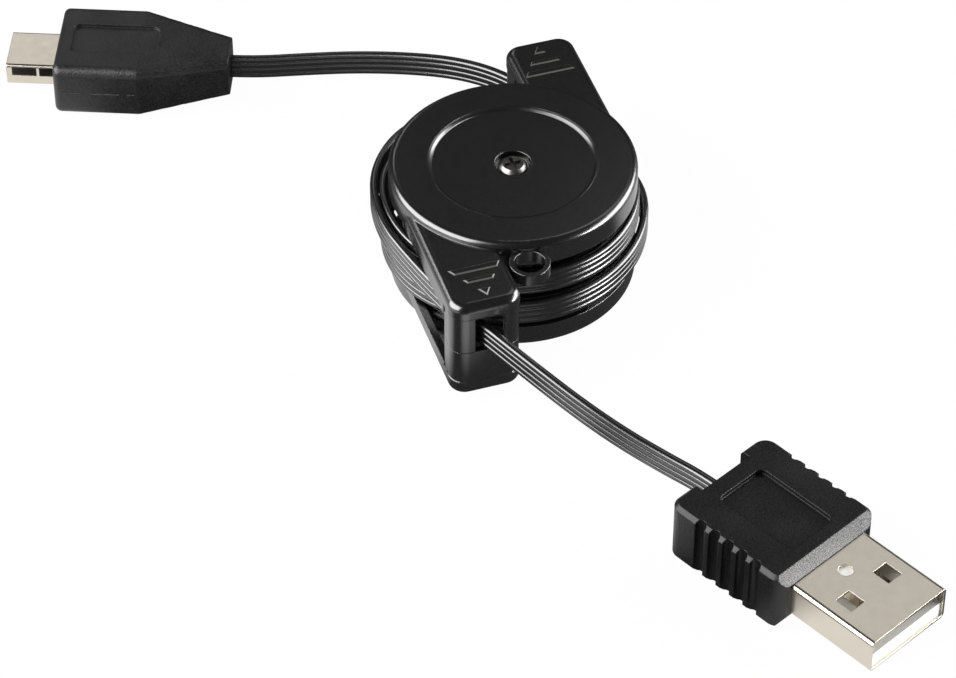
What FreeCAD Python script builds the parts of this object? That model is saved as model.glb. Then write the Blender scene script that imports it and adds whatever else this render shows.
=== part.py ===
import FreeCAD, Part
import math
import os
import re
import Sketcher

# Retractable cable reel with a large plug and a small plug on its two flat cords.
# Frame: origin under the reel's centre on the table, +Z up, +Y along the two cord arms.
# Lengths are millimetres, angles are degrees.

SIZES = {
    # reel housing
    "disc_radius": 14.75,
    "reel_height": 16.2,
    "disc_plate": 1.3,
    "lid_gap": 0.35,
    "skirt_wall": 1.35,
    "disc_round": 0.8,
    "base_round": 1.1,
    "recess_radius": 10.05,
    "recess_depth": 0.3,
    # the two arms, alike under half a turn about the reel's axis
    "arm_outer": 14.35,
    "arm_inner": 5.75,
    "arm_reach": 21.6,
    "arm_drop": 0.9,
    "arm_lift": 1.5,
    "arm_gap": 0.25,
    "arm_plate": 1.2,
    "arm_wall": 0.9,
    "arm_root": 3.2,
    "arm_corner": 2.0,
    "arm_round": 1.0,
    "port_outer_length": 3.6,
    "port_inner_length": 5.0,
    "port_lip": 2.0,
    "port_step": 0.1,
    "window_inner": 7.95,
    "window_outer": 11.6,
    "window_height": 5.0,
    # lanyard eye on the top shell
    "eye_side": 3.35,
    "eye_stand": 1.5,
    "eye_hole": 1.8,
    "eye_rim": 0.6,
    "eye_depth": 1.6,
    "eye_drop": 0.1,
    # screw, post and ratchet
    "post_radius": 2.8,
    "post_joint": 3.8,
    "screw_head_radius": 1.7,
    "screw_head_height": 0.9,
    "screw_shank": 0.85,
    "screw_length": 8.5,
    "screw_well_gap": 0.5,
    "screw_hole_gap": 0.25,
    "cross_width": 0.5,
    "cross_length": 2.1,
    "cross_depth": 0.55,
    "ball_radius": 0.8,
    "ball_gap": 0.05,
    "track_radius": 6.0,
    "track_depth": 0.8,
    "guide_length": 5.4,
    "guide_wall": 0.6,
    # spool and what is wound on it
    "spool_lift": 0.3,
    "bearing_gap": 0.05,
    "bearing_wall": 1.2,
    "bearing_length": 3.2,
    "drum_radius": 9.0,
    "drum_wall": 1.0,
    "web": 1.2,
    "flange_gap": 0.2,
    "flange": 0.7,
    "lane_gap": 0.1,
    "cord_width": 3.3,
    "cord_thick": 1.0,
    "wound_inset": 1.35,
    "rib_depth": 0.25,
    "spring_thick": 0.2,
    "spring_width": 4.8,
    "spring_gap": 0.12,
    "spring_turns": 6,
    # large plug
    "large_x": 15.7,
    "large_y": -62.75,
    "large_yaw": -64.2,
    "large_width": 15.6,
    "large_length": 17.0,
    "large_height": 8.06,
    "large_notch": 1.3,
    "large_notch_width": 7.6,
    "large_corner": 1.6,
    "large_chamfer": 0.5,
    "large_slope_run": 1.0,
    "large_slope_fall": 1.65,
    "groove_radius": 0.7,
    "groove_sink": 0.05,
    "groove_first": 4.0,
    "groove_pitch": 2.05,
    "groove_count": 5,
    "large_panel_length": 11.0,
    "large_panel_width": 7.0,
    "large_panel_front": 2.6,
    "large_panel_depth": 0.6,
    "large_panel_corner": 0.9,
    "large_shell_width": 12.0,
    "large_shell_height": 4.5,
    "large_shell_out": 11.8,
    "shell_seat": 2.2,
    "large_sheet": 0.3,
    "large_bend": 0.55,
    "catch_out": 5.85,
    "catch_side": 3.0,
    "catch_length": 2.3,
    "catch_width": 2.1,
    "dimple_out": 2.47,
    "dimple_radius": 0.85,
    "tongue_height": 1.9,
    "tongue_short": 0.3,
    "pad_width": 1.0,
    "pad_thick": 0.3,
    "pad_stand": 0.1,
    "pad_inner": 1.0,
    "pad_outer": 3.5,
    "pad_inner_length": 7.5,
    "pad_outer_length": 8.5,
    "pad_setback": 2.6,
    # small plug
    "small_x": -43.5,
    "small_y": 49.85,
    "small_yaw": 158.5,
    "small_width": 13.0,
    "small_height": 7.3,
    "small_straight": 10.6,
    "small_length": 21.6,
    "small_tail_width": 5.6,
    "small_tail_height": 5.9,
    "small_edge": 1.2,
    "small_nose": 0.8,
    "small_panel_length": 10.9,
    "small_panel_width": 5.5,
    "small_panel_front": 1.7,
    "small_panel_depth": 0.4,
    "small_panel_corner": 0.9,
    "small_shell_width": 6.8,
    "small_shell_height": 3.0,
    "small_shell_out": 6.3,
    "small_sheet": 0.25,
    "small_bend": 0.4,
    "side_window_height": 1.3,
    "side_window_front": 3.1,
    "side_window_back": 2.3,
    "side_window_tip": 0.7,
    "side_window_bar": 0.35,
    "insert_height": 1.1,
    "small_pad_width": 0.45,
    "small_pad_thick": 0.2,
    "small_pad_pitch": 0.8,
    "small_pad_length": 4.6,
}

# Each cord's loose turn on the reel, as radii at even steps of angle from a first angle,
# and then the corners of its free route, from the arm's port to near the plug's back.
LOOSE_STEP = 30
CORD_A_FIRST = 60
CORD_A_RADII = [14.3, 15.2, 15.9, 16.2, 15.4, 15.3, 15.2, 15.1, 15.1, 15.05, 15.1, 15.4, 15.9, 16.9,
                17.9, 17.3, 16.55]
CORD_A_ROUTE = [
    (-14.9, -8.0, 10.2), (-12.9, -15.0, 10.2), (-10.1, -21.6, 10.1), (-6.8, -27.5, 9.0),
    (-3.0, -33.2, 7.3), (0.7, -37.8, 5.7), (4.3, -41.9, 4.6),
]
CORD_B_FIRST = -390
CORD_B_RADII = [14.3, 15.5, 15.8, 15.8, 15.7, 15.7, 15.8, 15.9, 16.0, 15.7, 15.5, 15.3, 15.75, 16.9]
CORD_B_ROUTE = [
    (15.0, 8.4, 6.0), (12.45, 15.0, 6.0), (9.8, 21.5, 6.0), (7.0, 26.4, 5.9),
    (2.9, 30.5, 5.6), (-2.4, 33.7, 5.2), (-8.6, 36.6, 4.7), (-14.7, 38.9, 4.1),
]
CORD_LAST_RUN = 3.2
ARC_SHARE = 0.45
SMALL_CONTACTS = 5
DRAFT = 0.5

doc = FreeCAD.newDocument("RetractableCable")
sheet = doc.addObject("Spreadsheet::Sheet", "Sizes")
for row, (name, size) in enumerate(SIZES.items(), start=1):
    sheet.set(f"A{row}", name)
    sheet.set(f"B{row}", str(size))
    sheet.setAlias(f"B{row}", name)
doc.recompute()


def factor(word):
    """One name or number of a formula, as a number."""
    return float(SIZES[word]) if word in SIZES else float(word)


def value(formula):
    """A sum such as 'arm_outer - arm_wall*2', worked out from the sizes."""
    total = 0.0
    for term in formula.replace("- ", "-").replace("+ ", "").split():
        amount = -1.0 if term.startswith("-") else 1.0
        for part in term.lstrip("-").split("*"):
            over = part.split("/")
            amount *= factor(over[0])
            for divisor in over[1:]:
                amount /= factor(divisor)
        total += amount
    return total


def cell(formula):
    """The same sum as an expression on the sheet's cells."""
    return re.sub(r"[a-z]+(_[a-z]+)*", lambda found: "Sizes." + found.group(), formula)


def new_body(name):
    body = doc.addObject("PartDesign::Body", name)
    body.Label = name
    return body


def place(body, x, y, yaw):
    """Set a plug's local frame, tip along +X, on the table at (x, y) with a heading."""
    body.Placement.Rotation = FreeCAD.Rotation(FreeCAD.Vector(0, 0, 1), value(yaw))
    body.setExpression("Placement.Base.x", cell(x))
    body.setExpression("Placement.Base.y", cell(y))
    body.setExpression("Placement.Rotation.Angle", cell(yaw))


def sketch_on(body, name, plane, height="0"):
    sketch = body.newObject("Sketcher::SketchObject", name)
    origin = [item for item in body.Origin.OriginFeatures if item.Role == plane][0]
    sketch.AttachmentSupport = (origin, [""])
    sketch.MapMode = "FlatFace"
    sketch.setExpression("AttachmentOffset.Base.z", cell(height))
    return sketch


def fix(sketch, kind, geometry, point, formula):
    """Hold one coordinate of a sketch point at a size from the sheet."""
    index = sketch.addConstraint(Sketcher.Constraint(kind, -1, 1, geometry, point, value(formula)))
    sketch.setExpression(f"Constraints[{index}]", cell(formula))


def polygon(sketch, points):
    corners = [FreeCAD.Vector(value(x), value(y), 0) for x, y in points]
    first = sketch.GeometryCount
    count = len(corners)
    for index in range(count):
        sketch.addGeometry(Part.LineSegment(corners[index], corners[(index + 1) % count]))
    for index in range(count):
        following = first + (index + 1) % count
        sketch.addConstraint(Sketcher.Constraint("Coincident", first + index, 2, following, 1))
        fix(sketch, "DistanceX", first + index, 1, points[index][0])
        fix(sketch, "DistanceY", first + index, 1, points[index][1])


def rectangle(sketch, left, right, low, high):
    polygon(sketch, [(left, low), (right, low), (right, high), (left, high)])


def circle(sketch, x, y, radius):
    centre = FreeCAD.Vector(value(x), value(y), 0)
    index = sketch.addGeometry(Part.Circle(centre, FreeCAD.Vector(0, 0, 1), value(radius)))
    bound = sketch.addConstraint(Sketcher.Constraint("Radius", index, value(radius)))
    sketch.setExpression(f"Constraints[{bound}]", cell(radius))
    fix(sketch, "DistanceX", index, 3, x)
    fix(sketch, "DistanceY", index, 3, y)


def pad(body, name, sketch, length, reverse=False):
    feature = body.newObject("PartDesign::Pad", name)
    feature.Profile = sketch
    feature.setExpression("Length", cell(length))
    feature.Reversed = reverse
    return feature


def pocket(body, name, sketch, length, reverse=False):
    """A cut that has to take material away, along the sketch's back side unless reversed."""
    doc.recompute()
    before = body.Shape.Volume
    feature = body.newObject("PartDesign::Pocket", name)
    feature.Profile = sketch
    feature.setExpression("Length", cell(length))
    feature.Reversed = reverse
    doc.recompute()
    if body.Shape.Volume >= before:
        raise RuntimeError(f"{name} cuts nothing")
    return feature


def revolve(body, name, points):
    """Turn a half section, given as (radius, height) corners, about the body's Z axis."""
    sketch = sketch_on(body, name + "Section", "XZ_Plane")
    polygon(sketch, points)
    feature = body.newObject("PartDesign::Revolution", name)
    feature.Profile = sketch
    feature.ReferenceAxis = (sketch, ["V_Axis"])
    feature.Angle = 360
    return feature


def edges_where(body, test):
    doc.recompute()
    return [f"Edge{index}" for index, edge in enumerate(body.Shape.Edges, start=1) if test(edge)]


def upright_at(edge, x, y, reach=0.05):
    """A straight vertical edge over the point (x, y)."""
    ends = [vertex.Point for vertex in edge.Vertexes]
    if len(ends) != 2:
        return False
    return all(abs(end.x - x) < reach and abs(end.y - y) < reach for end in ends)


def dress(body, kind, name, size, test):
    """A fillet or chamfer, bound to its size, on the edges that pass the test."""
    names = edges_where(body, test)
    if not names:
        raise RuntimeError(f"{name} finds no edge")
    tip = body.Tip
    feature = body.newObject("PartDesign::" + kind, name)
    feature.Base = (tip, names)
    feature.setExpression("Radius" if kind == "Fillet" else "Size", cell(size))
    doc.recompute()
    if "Invalid" in feature.State:
        raise RuntimeError(f"{name} fails on {len(names)} edges")
    return feature


def flat_at(edge, height, reach=0.02):
    box = edge.BoundBox
    return abs(box.ZMin - height) < reach and abs(box.ZMax - height) < reach


def turned(points, side):
    """Outline points of the front arm, or the same points after half a turn."""
    return points if side == "front" else [(minus(x), minus(y)) for x, y in points]


def minus(formula):
    """The same sum with every sign changed."""
    terms = formula.replace("- ", "-").replace("+ ", "").split()
    first = terms[0][1:] if terms[0].startswith("-") else "-" + terms[0]
    rest = [" + " + term[1:] if term.startswith("-") else " - " + term for term in terms[1:]]
    return first + "".join(rest)


MIDDLE = "reel_height/2"
ARM_FACE = "reel_height - arm_drop"
# The discs' skirts and the arms' edges both stop short of the wound cord's lanes.
DISC_DEPTH = "reel_height/2 - flange*1.5 - lane_gap*2 - cord_width - lid_gap"
SKIRT_LOW = "reel_height/2 + flange*1.5 + lane_gap*2 + cord_width + lid_gap"
EDGE_LOW = "reel_height/2 + flange/2 + lane_gap + cord_width + arm_gap"
EDGE_DEPTH = "reel_height/2 - flange/2 - lane_gap - cord_width - arm_gap"


def arm_outline(side):
    points = [("-arm_outer", "-arm_root"), ("-arm_outer", "-arm_reach"),
              ("-arm_inner", "-arm_reach"), ("-arm_inner", "-arm_root")]
    return turned(points, side)


def arm_edge(side):
    """The straight wall along an arm's outer side, from the disc to the port."""
    port = "-arm_reach + port_outer_length"
    points = [("-arm_outer", "-arm_root"), ("-arm_outer", port),
              ("-arm_outer + arm_wall", port), ("-arm_outer + arm_wall", "-arm_root")]
    return turned(points, side)


def port_walls(side, inset):
    """A U-shaped wall round an arm's end, open towards the reel, its outside set in a little."""
    outer_back = "-arm_reach + port_outer_length"
    inner_back = "-arm_reach + port_inner_length"
    points = [
        (f"-arm_outer + {inset}", outer_back),
        (f"-arm_outer + {inset}", f"-arm_reach + {inset}"),
        (f"-arm_inner - {inset}", f"-arm_reach + {inset}"),
        (f"-arm_inner - {inset}", inner_back),
        ("-arm_inner - arm_wall", inner_back),
        ("-arm_inner - arm_wall", "-arm_reach + arm_wall"),
        ("-arm_outer + arm_wall", "-arm_reach + arm_wall"),
        ("-arm_outer + arm_wall", outer_back),
    ]
    return turned(points, side)


def port_lip(side):
    return port_walls(side, "0")


def port_inset(side):
    return port_walls(side, "port_step")


def arms(body, faces):
    """Both arms of one shell: plate, edge and the port's half walls, at the given heights."""
    for name, outline, low, length in faces:
        for side in ("front", "rear"):
            sketch = sketch_on(body, f"{name}{side.title()}Sketch", "XY_Plane", low)
            polygon(sketch, outline(side))
            pad(body, f"{name}{side.title()}", sketch, length)


def port_corners(inset):
    """The upright outer edges at both arms' ends, of walls set in by the given step."""
    reach = value(f"arm_reach - {inset}")
    places = [(value(f"arm_outer - {inset}"), reach), (value(f"arm_inner + {inset}"), reach)]
    return lambda edge: any(upright_at(edge, x, y) or upright_at(edge, -x, -y) for x, y in places)


def port_window(body, name, side, low, high):
    """The square window in one port's end wall, cut from outside."""
    sketch = sketch_on(body, name + "Sketch", "XZ_Plane", "arm_reach + arm_wall")
    if side == "front":
        rectangle(sketch, "-window_outer", "-window_inner", low, high)
    else:
        sketch.setExpression("AttachmentOffset.Base.z", cell("-arm_reach + arm_wall*1.5"))
        rectangle(sketch, "window_inner", "window_outer", low, high)
    pocket(body, name, sketch, "arm_wall*2.5")


def top_shell():
    body = new_body("top_shell")
    bridge = sketch_on(body, "TopBridgeSketch", "XY_Plane", "reel_height - arm_drop - arm_plate")
    rectangle(bridge, "-arm_outer", "arm_outer", "-arm_root", "arm_root")
    pad(body, "TopBridge", bridge, "arm_plate")
    arms(body, [
        ("TopArmPlate", arm_outline, "reel_height - arm_drop - arm_plate", "arm_plate"),
        ("TopArmEdge", arm_edge, EDGE_LOW, EDGE_DEPTH + " - arm_drop"),
        ("TopPort", port_inset, MIDDLE, "reel_height/2 - arm_drop - arm_plate"),
    ])
    dress(body, "Fillet", "TopPortCorners", "arm_corner - port_step", port_corners("port_step"))
    arms(body, [("TopPortLip", port_lip, "reel_height - arm_drop - port_lip", "port_lip")])
    dress(body, "Fillet", "TopLipCorners", "arm_corner", port_corners("0"))
    face = value(ARM_FACE)
    root = value("arm_root")
    dress(body, "Fillet", "TopArmRound", "arm_round",
          lambda edge: flat_at(edge, face) and abs(edge.CenterOfMass.y) > root + DRAFT)
    disc = sketch_on(body, "TopDiscSketch", "XY_Plane", SKIRT_LOW)
    circle(disc, "0", "0", "disc_radius")
    pad(body, "TopDisc", disc, DISC_DEPTH)
    top = value("reel_height")
    dress(body, "Fillet", "TopDiscRound", "disc_round", lambda edge: flat_at(edge, top))
    eye = sketch_on(body, "EyeSketch", "XY_Plane", "reel_height - arm_drop - eye_drop")
    circle(eye, "-eye_side", "-disc_radius - eye_stand", "eye_hole + eye_rim")
    pad(body, "Eye", eye, "eye_depth", reverse=True)
    hollow = sketch_on(body, "TopHollowSketch", "XY_Plane", SKIRT_LOW)
    circle(hollow, "0", "0", "disc_radius - skirt_wall")
    pocket(body, "TopHollow", hollow, DISC_DEPTH + " - disc_plate", reverse=True)
    boss = sketch_on(body, "BossSketch", "XY_Plane", "reel_height - disc_plate")
    circle(boss, "0", "0", "post_radius")
    pad(body, "Boss", boss, "post_joint - disc_plate", reverse=True)
    guide = sketch_on(body, "BallGuideSketch", "XY_Plane", "reel_height - disc_plate")
    rectangle(guide, "track_radius - guide_length/2", "track_radius + guide_length/2",
              "-ball_radius - ball_gap - guide_wall", "ball_radius + ball_gap + guide_wall")
    pad(body, "BallGuide", guide, GUIDE_DROP, reverse=True)
    slot = sketch_on(body, "BallSlotSketch", "XY_Plane", BALL_TOP)
    rectangle(slot, "track_radius - guide_length/2 + guide_wall",
              "track_radius + guide_length/2 - guide_wall",
              "-ball_radius - ball_gap", "ball_radius + ball_gap")
    pocket(body, "BallSlot", slot, "ball_radius*2")
    recess = sketch_on(body, "RecessSketch", "XY_Plane", "reel_height")
    circle(recess, "0", "0", "recess_radius")
    pocket(body, "Recess", recess, "recess_depth")
    well = sketch_on(body, "ScrewWellSketch", "XY_Plane", "reel_height")
    circle(well, "0", "0", "screw_head_radius + screw_well_gap")
    pocket(body, "ScrewWell", well, "recess_depth + screw_head_height")
    hole = sketch_on(body, "ScrewHoleSketch", "XY_Plane", "reel_height")
    circle(hole, "0", "0", "screw_shank + screw_hole_gap")
    pocket(body, "ScrewHole", hole, "post_joint + ball_gap")
    eye_hole = sketch_on(body, "EyeHoleSketch", "XY_Plane", "reel_height")
    circle(eye_hole, "-eye_side", "-disc_radius - eye_stand", "eye_hole")
    pocket(body, "EyeHole", eye_hole, "arm_drop + eye_drop + eye_depth + arm_plate")
    port_window(body, "FrontWindow", "front", MIDDLE, "reel_height/2 + window_height")
    return body


def bottom_shell():
    body = new_body("bottom_shell")
    bridge = sketch_on(body, "BottomBridgeSketch", "XY_Plane", "arm_lift")
    rectangle(bridge, "-arm_outer", "arm_outer", "-arm_root", "arm_root")
    pad(body, "BottomBridge", bridge, "arm_plate")
    arms(body, [
        ("BottomArmPlate", arm_outline, "arm_lift", "arm_plate"),
        ("BottomArmEdge", arm_edge, "arm_lift", EDGE_DEPTH + " - arm_lift"),
        ("BottomPort", port_inset, "arm_lift + arm_plate", "reel_height/2 - arm_lift - arm_plate"),
    ])
    dress(body, "Fillet", "BottomPortCorners", "arm_corner - port_step", port_corners("port_step"))
    arms(body, [("BottomPortLip", port_lip, "arm_lift", "port_lip")])
    dress(body, "Fillet", "BottomLipCorners", "arm_corner", port_corners("0"))
    face = value("arm_lift")
    root = value("arm_root")
    dress(body, "Fillet", "BottomArmRound", "arm_round",
          lambda edge: flat_at(edge, face) and abs(edge.CenterOfMass.y) > root + DRAFT)
    disc = sketch_on(body, "BottomDiscSketch", "XY_Plane")
    circle(disc, "0", "0", "disc_radius")
    pad(body, "BottomDisc", disc, DISC_DEPTH)
    dress(body, "Fillet", "BottomDiscRound", "base_round", lambda edge: flat_at(edge, 0))
    hollow = sketch_on(body, "BottomHollowSketch", "XY_Plane", DISC_DEPTH)
    circle(hollow, "0", "0", "disc_radius - skirt_wall")
    pocket(body, "BottomHollow", hollow, DISC_DEPTH + " - disc_plate")
    post = sketch_on(body, "PostSketch", "XY_Plane", "disc_plate")
    circle(post, "0", "0", "post_radius")
    pad(body, "Post", post, "reel_height - post_joint - disc_plate")
    pilot = sketch_on(body, "PilotSketch", "XY_Plane", "reel_height - post_joint")
    circle(pilot, "0", "0", "screw_shank")
    pocket(body, "Pilot", pilot, "screw_length")
    seat = sketch_on(body, "SpoolSeatSketch", "XY_Plane", "disc_plate")
    circle(seat, "0", "0", "drum_radius")
    circle(seat, "0", "0", "drum_radius - drum_wall")
    pad(body, "SpoolSeat", seat, SEAT_RISE)
    port_window(body, "RearWindow", "rear", "reel_height/2 - window_height", MIDDLE)
    return body


SPOOL_TOP = "reel_height/2 + flange*1.5 + lane_gap*2 + cord_width"
SPOOL_LOW = "reel_height/2 - flange*1.5 - lane_gap*2 - cord_width"
BALL_TOP = SPOOL_TOP + " - track_depth + ball_radius*2 + ball_gap"
GUIDE_DROP = ("reel_height/2 - disc_plate - flange*1.5 - lane_gap*2 - cord_width"
              " - spool_lift")
SEAT_RISE = "reel_height/2 - flange*1.5 - lane_gap*2 - cord_width - disc_plate - spool_lift"


def spool():
    """Drum with three flanges, a spring chamber open below and the ball's track on top."""
    body = new_body("spool")
    bore = "post_radius + bearing_gap"
    hub = "post_radius + bearing_gap + bearing_wall"
    chamber = "drum_radius - drum_wall"
    rim = "disc_radius - skirt_wall - flange_gap"
    lane = "flange/2"
    outer = "flange/2 + lane_gap*2 + cord_width"
    revolve(body, "Drum", [
        (bore, SPOOL_TOP),
        (bore, SPOOL_TOP + " - bearing_length"),
        (hub, SPOOL_TOP + " - bearing_length"),
        (hub, SPOOL_TOP + " - web - track_depth"),
        (chamber, SPOOL_TOP + " - web - track_depth"),
        (chamber, SPOOL_LOW),
        (rim, SPOOL_LOW),
        (rim, "reel_height/2 - " + outer.replace("+", "-")),
        ("drum_radius", "reel_height/2 - " + outer.replace("+", "-")),
        ("drum_radius", "reel_height/2 - " + lane),
        (rim, "reel_height/2 - " + lane),
        (rim, "reel_height/2 + " + lane),
        ("drum_radius", "reel_height/2 + " + lane),
        ("drum_radius", "reel_height/2 + " + outer),
        (rim, "reel_height/2 + " + outer),
        (rim, SPOOL_TOP),
    ])
    track = sketch_on(body, "TrackSketch", "XY_Plane", SPOOL_TOP)
    circle(track, "0", "0", "track_radius + ball_radius + ball_gap")
    circle(track, "0", "0", "track_radius - ball_radius - ball_gap")
    pocket(body, "Track", track, "track_depth")
    stop = sketch_on(body, "StopSketch", "XY_Plane", SPOOL_TOP)
    circle(stop, "track_radius + ball_radius", "0", "ball_radius + ball_gap")
    stops = pocket(body, "Stop", stop, "track_depth")
    pattern = body.newObject("PartDesign::PolarPattern", "Stops")
    pattern.Originals = [stops]
    pattern.Axis = (stop, ["N_Axis"])
    pattern.Angle = 360
    pattern.Occurrences = 3
    body.Tip = pattern
    return body


def wound_cord(name, low):
    """The turns left on the spool as one ring, with the cord's four ribs round its outside."""
    body = new_body(name)
    crest = "disc_radius - wound_inset"
    points = [("drum_radius", low + " + cord_width"), ("drum_radius", low)]
    for rib in range(4):
        start = f"{low} + cord_width*{rib}/4"
        points += [
            (crest + " - rib_depth", start),
            (crest, start + " + cord_width/16"),
            (crest, start + " + cord_width*3/16"),
        ]
    points.append((crest + " - rib_depth", low + " + cord_width"))
    revolve(body, name.title().replace("_", ""), points)
    return body


def centre_screw():
    body = new_body("centre_screw")
    seat = "reel_height - recess_depth - screw_head_height"
    tip = "reel_height - post_joint - screw_length + screw_shank"
    revolve(body, "ScrewTurning", [
        ("0", "reel_height - recess_depth"),
        ("0", tip),
        ("screw_shank/2", tip),
        ("screw_shank", tip + " + screw_shank/2"),
        ("screw_shank", seat),
        ("screw_head_radius", seat),
        ("screw_head_radius", "reel_height - recess_depth - screw_head_height/2"),
        ("screw_head_radius*3/4", "reel_height - recess_depth"),
    ])
    cross = sketch_on(body, "CrossSketch", "XY_Plane", "reel_height - recess_depth")
    half = "cross_width/2"
    arm = "cross_length/2"
    polygon(cross, [
        (arm, "-" + half), (arm, half), (half, half), (half, arm), ("-" + half, arm), ("-" + half, half),
        ("-" + arm, half), ("-" + arm, "-" + half), ("-" + half, "-" + half), ("-" + half, "-" + arm),
        (half, "-" + arm), (half, "-" + half),
    ])
    pocket(body, "Cross", cross, "cross_depth")
    return body


def ratchet_ball():
    ball = doc.addObject("Part::Sphere", "ratchet_ball")
    ball.setExpression("Radius", cell("ball_radius"))
    ball.setExpression("Placement.Base.x", cell("track_radius"))
    ball.setExpression("Placement.Base.z", cell(SPOOL_TOP + " - track_depth + ball_radius + ball_gap/2"))
    return ball


def mainspring():
    """Flat spiral strip in the spool's chamber, in half turns of growing radius."""
    inner = value("post_radius + spring_gap")
    outer = value("drum_radius - drum_wall - spring_gap - spring_thick")
    halves = int(value("spring_turns*2"))
    step = (outer - inner) / halves
    thick = value("spring_thick")

    def spiral(grow):
        edges = []
        start = FreeCAD.Vector(inner + grow, 0, 0)
        for half in range(halves):
            side = 1 if half % 2 == 0 else -1
            reach = inner + grow + step * (half + 0.5)
            end = FreeCAD.Vector(start.x - side * 2 * reach, 0, 0)
            middle = FreeCAD.Vector((start.x + end.x) / 2, side * reach, 0)
            edges.append(Part.Arc(start, middle, end).toShape())
            start = end
        return edges, start

    inside, inside_end = spiral(0)
    outside, outside_end = spiral(thick)
    caps = [Part.LineSegment(FreeCAD.Vector(inner, 0, 0), FreeCAD.Vector(inner + thick, 0, 0)).toShape(),
            Part.LineSegment(inside_end, outside_end).toShape()]
    wire = Part.Wire(Part.__sortEdges__(inside + outside + caps))
    strip = doc.addObject("Part::Feature", "mainspring")
    strip.Shape = Part.Face(wire).extrude(FreeCAD.Vector(0, 0, value("spring_width")))
    strip.Placement.Base.z = value(SPOOL_LOW + " + flange")
    return strip


def plug_point(x, y, yaw, back, height):
    """A point on a plug's axis, the given distance behind its front face."""
    heading = math.radians(value(yaw))
    return FreeCAD.Vector(value(x) - back * math.cos(heading), value(y) - back * math.sin(heading), height)


def loose_turn(first, radii, level):
    """Corners of a cord's loose turn on the reel, one for each radius."""
    corners = []
    for index, radius in enumerate(radii):
        angle = math.radians(first + LOOSE_STEP * index)
        corners.append((radius * math.cos(angle), radius * math.sin(angle), level))
    return corners


def cord(name, route, exit_point, before_exit):
    """A flat cord on edge along straight runs and the largest tangent arcs they allow."""
    points = [FreeCAD.Vector(*point) for point in route] + [before_exit, exit_point]
    edges = []
    start = points[0]
    radii = []
    for before, corner, after in zip(points, points[1:], points[2:]):
        back = before - corner
        ahead = after - corner
        half_turn = (math.pi - back.getAngle(ahead)) / 2
        trim = ARC_SHARE * min(back.Length, ahead.Length)
        radius = trim / math.tan(half_turn)
        radii.append(round(radius, 1))
        enter = corner + back.normalize() * trim
        leave = corner + ahead.normalize() * trim
        inward = (back + ahead).normalize()
        nearest = corner + inward * (radius / math.cos(half_turn) - radius)
        edges.append(Part.LineSegment(start, enter).toShape())
        edges.append(Part.Arc(enter, nearest, leave).toShape())
        start = leave
    edges.append(Part.LineSegment(start, points[-1]).toShape())
    path = Part.Wire(edges)
    along = (points[1] - points[0]).normalize()
    across = FreeCAD.Vector(-along.y, along.x, 0).normalize() * (value("cord_thick") / 2)
    up = FreeCAD.Vector(0, 0, value("cord_width") / 2)
    centre = points[0]
    corners = [centre + across + up, centre - across + up, centre - across - up, centre + across - up]
    sides = zip(corners, corners[1:] + corners[:1])
    section = Part.Wire([Part.LineSegment(start, end).toShape() for start, end in sides])
    pipe = Part.BRepOffsetAPI.MakePipeShell(path)
    pipe.setBiNormalMode(FreeCAD.Vector(0, 0, 1))
    pipe.add(section, False, False)
    pipe.build()
    pipe.makeSolid()
    solid = doc.addObject("Part::Feature", name)
    solid.Shape = pipe.shape()
    expected = path.Length * value("cord_thick*cord_width")
    print(name, "length", round(path.Length, 1), "radii", radii,
          "volume share", round(solid.Shape.Volume / expected, 4))
    return solid


LARGE_CENTRE = "large_height/2"
SMALL_CENTRE = "small_height/2"


def boxed_section(body, name, plane, height, width, depth, offset):
    """A rectangle across a plug, centred on its axis."""
    sketch = sketch_on(body, name, plane, offset)
    rectangle(sketch, f"-{width}/2", f"{width}/2", f"{height} - {depth}/2", f"{height} + {depth}/2")
    return sketch


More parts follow.
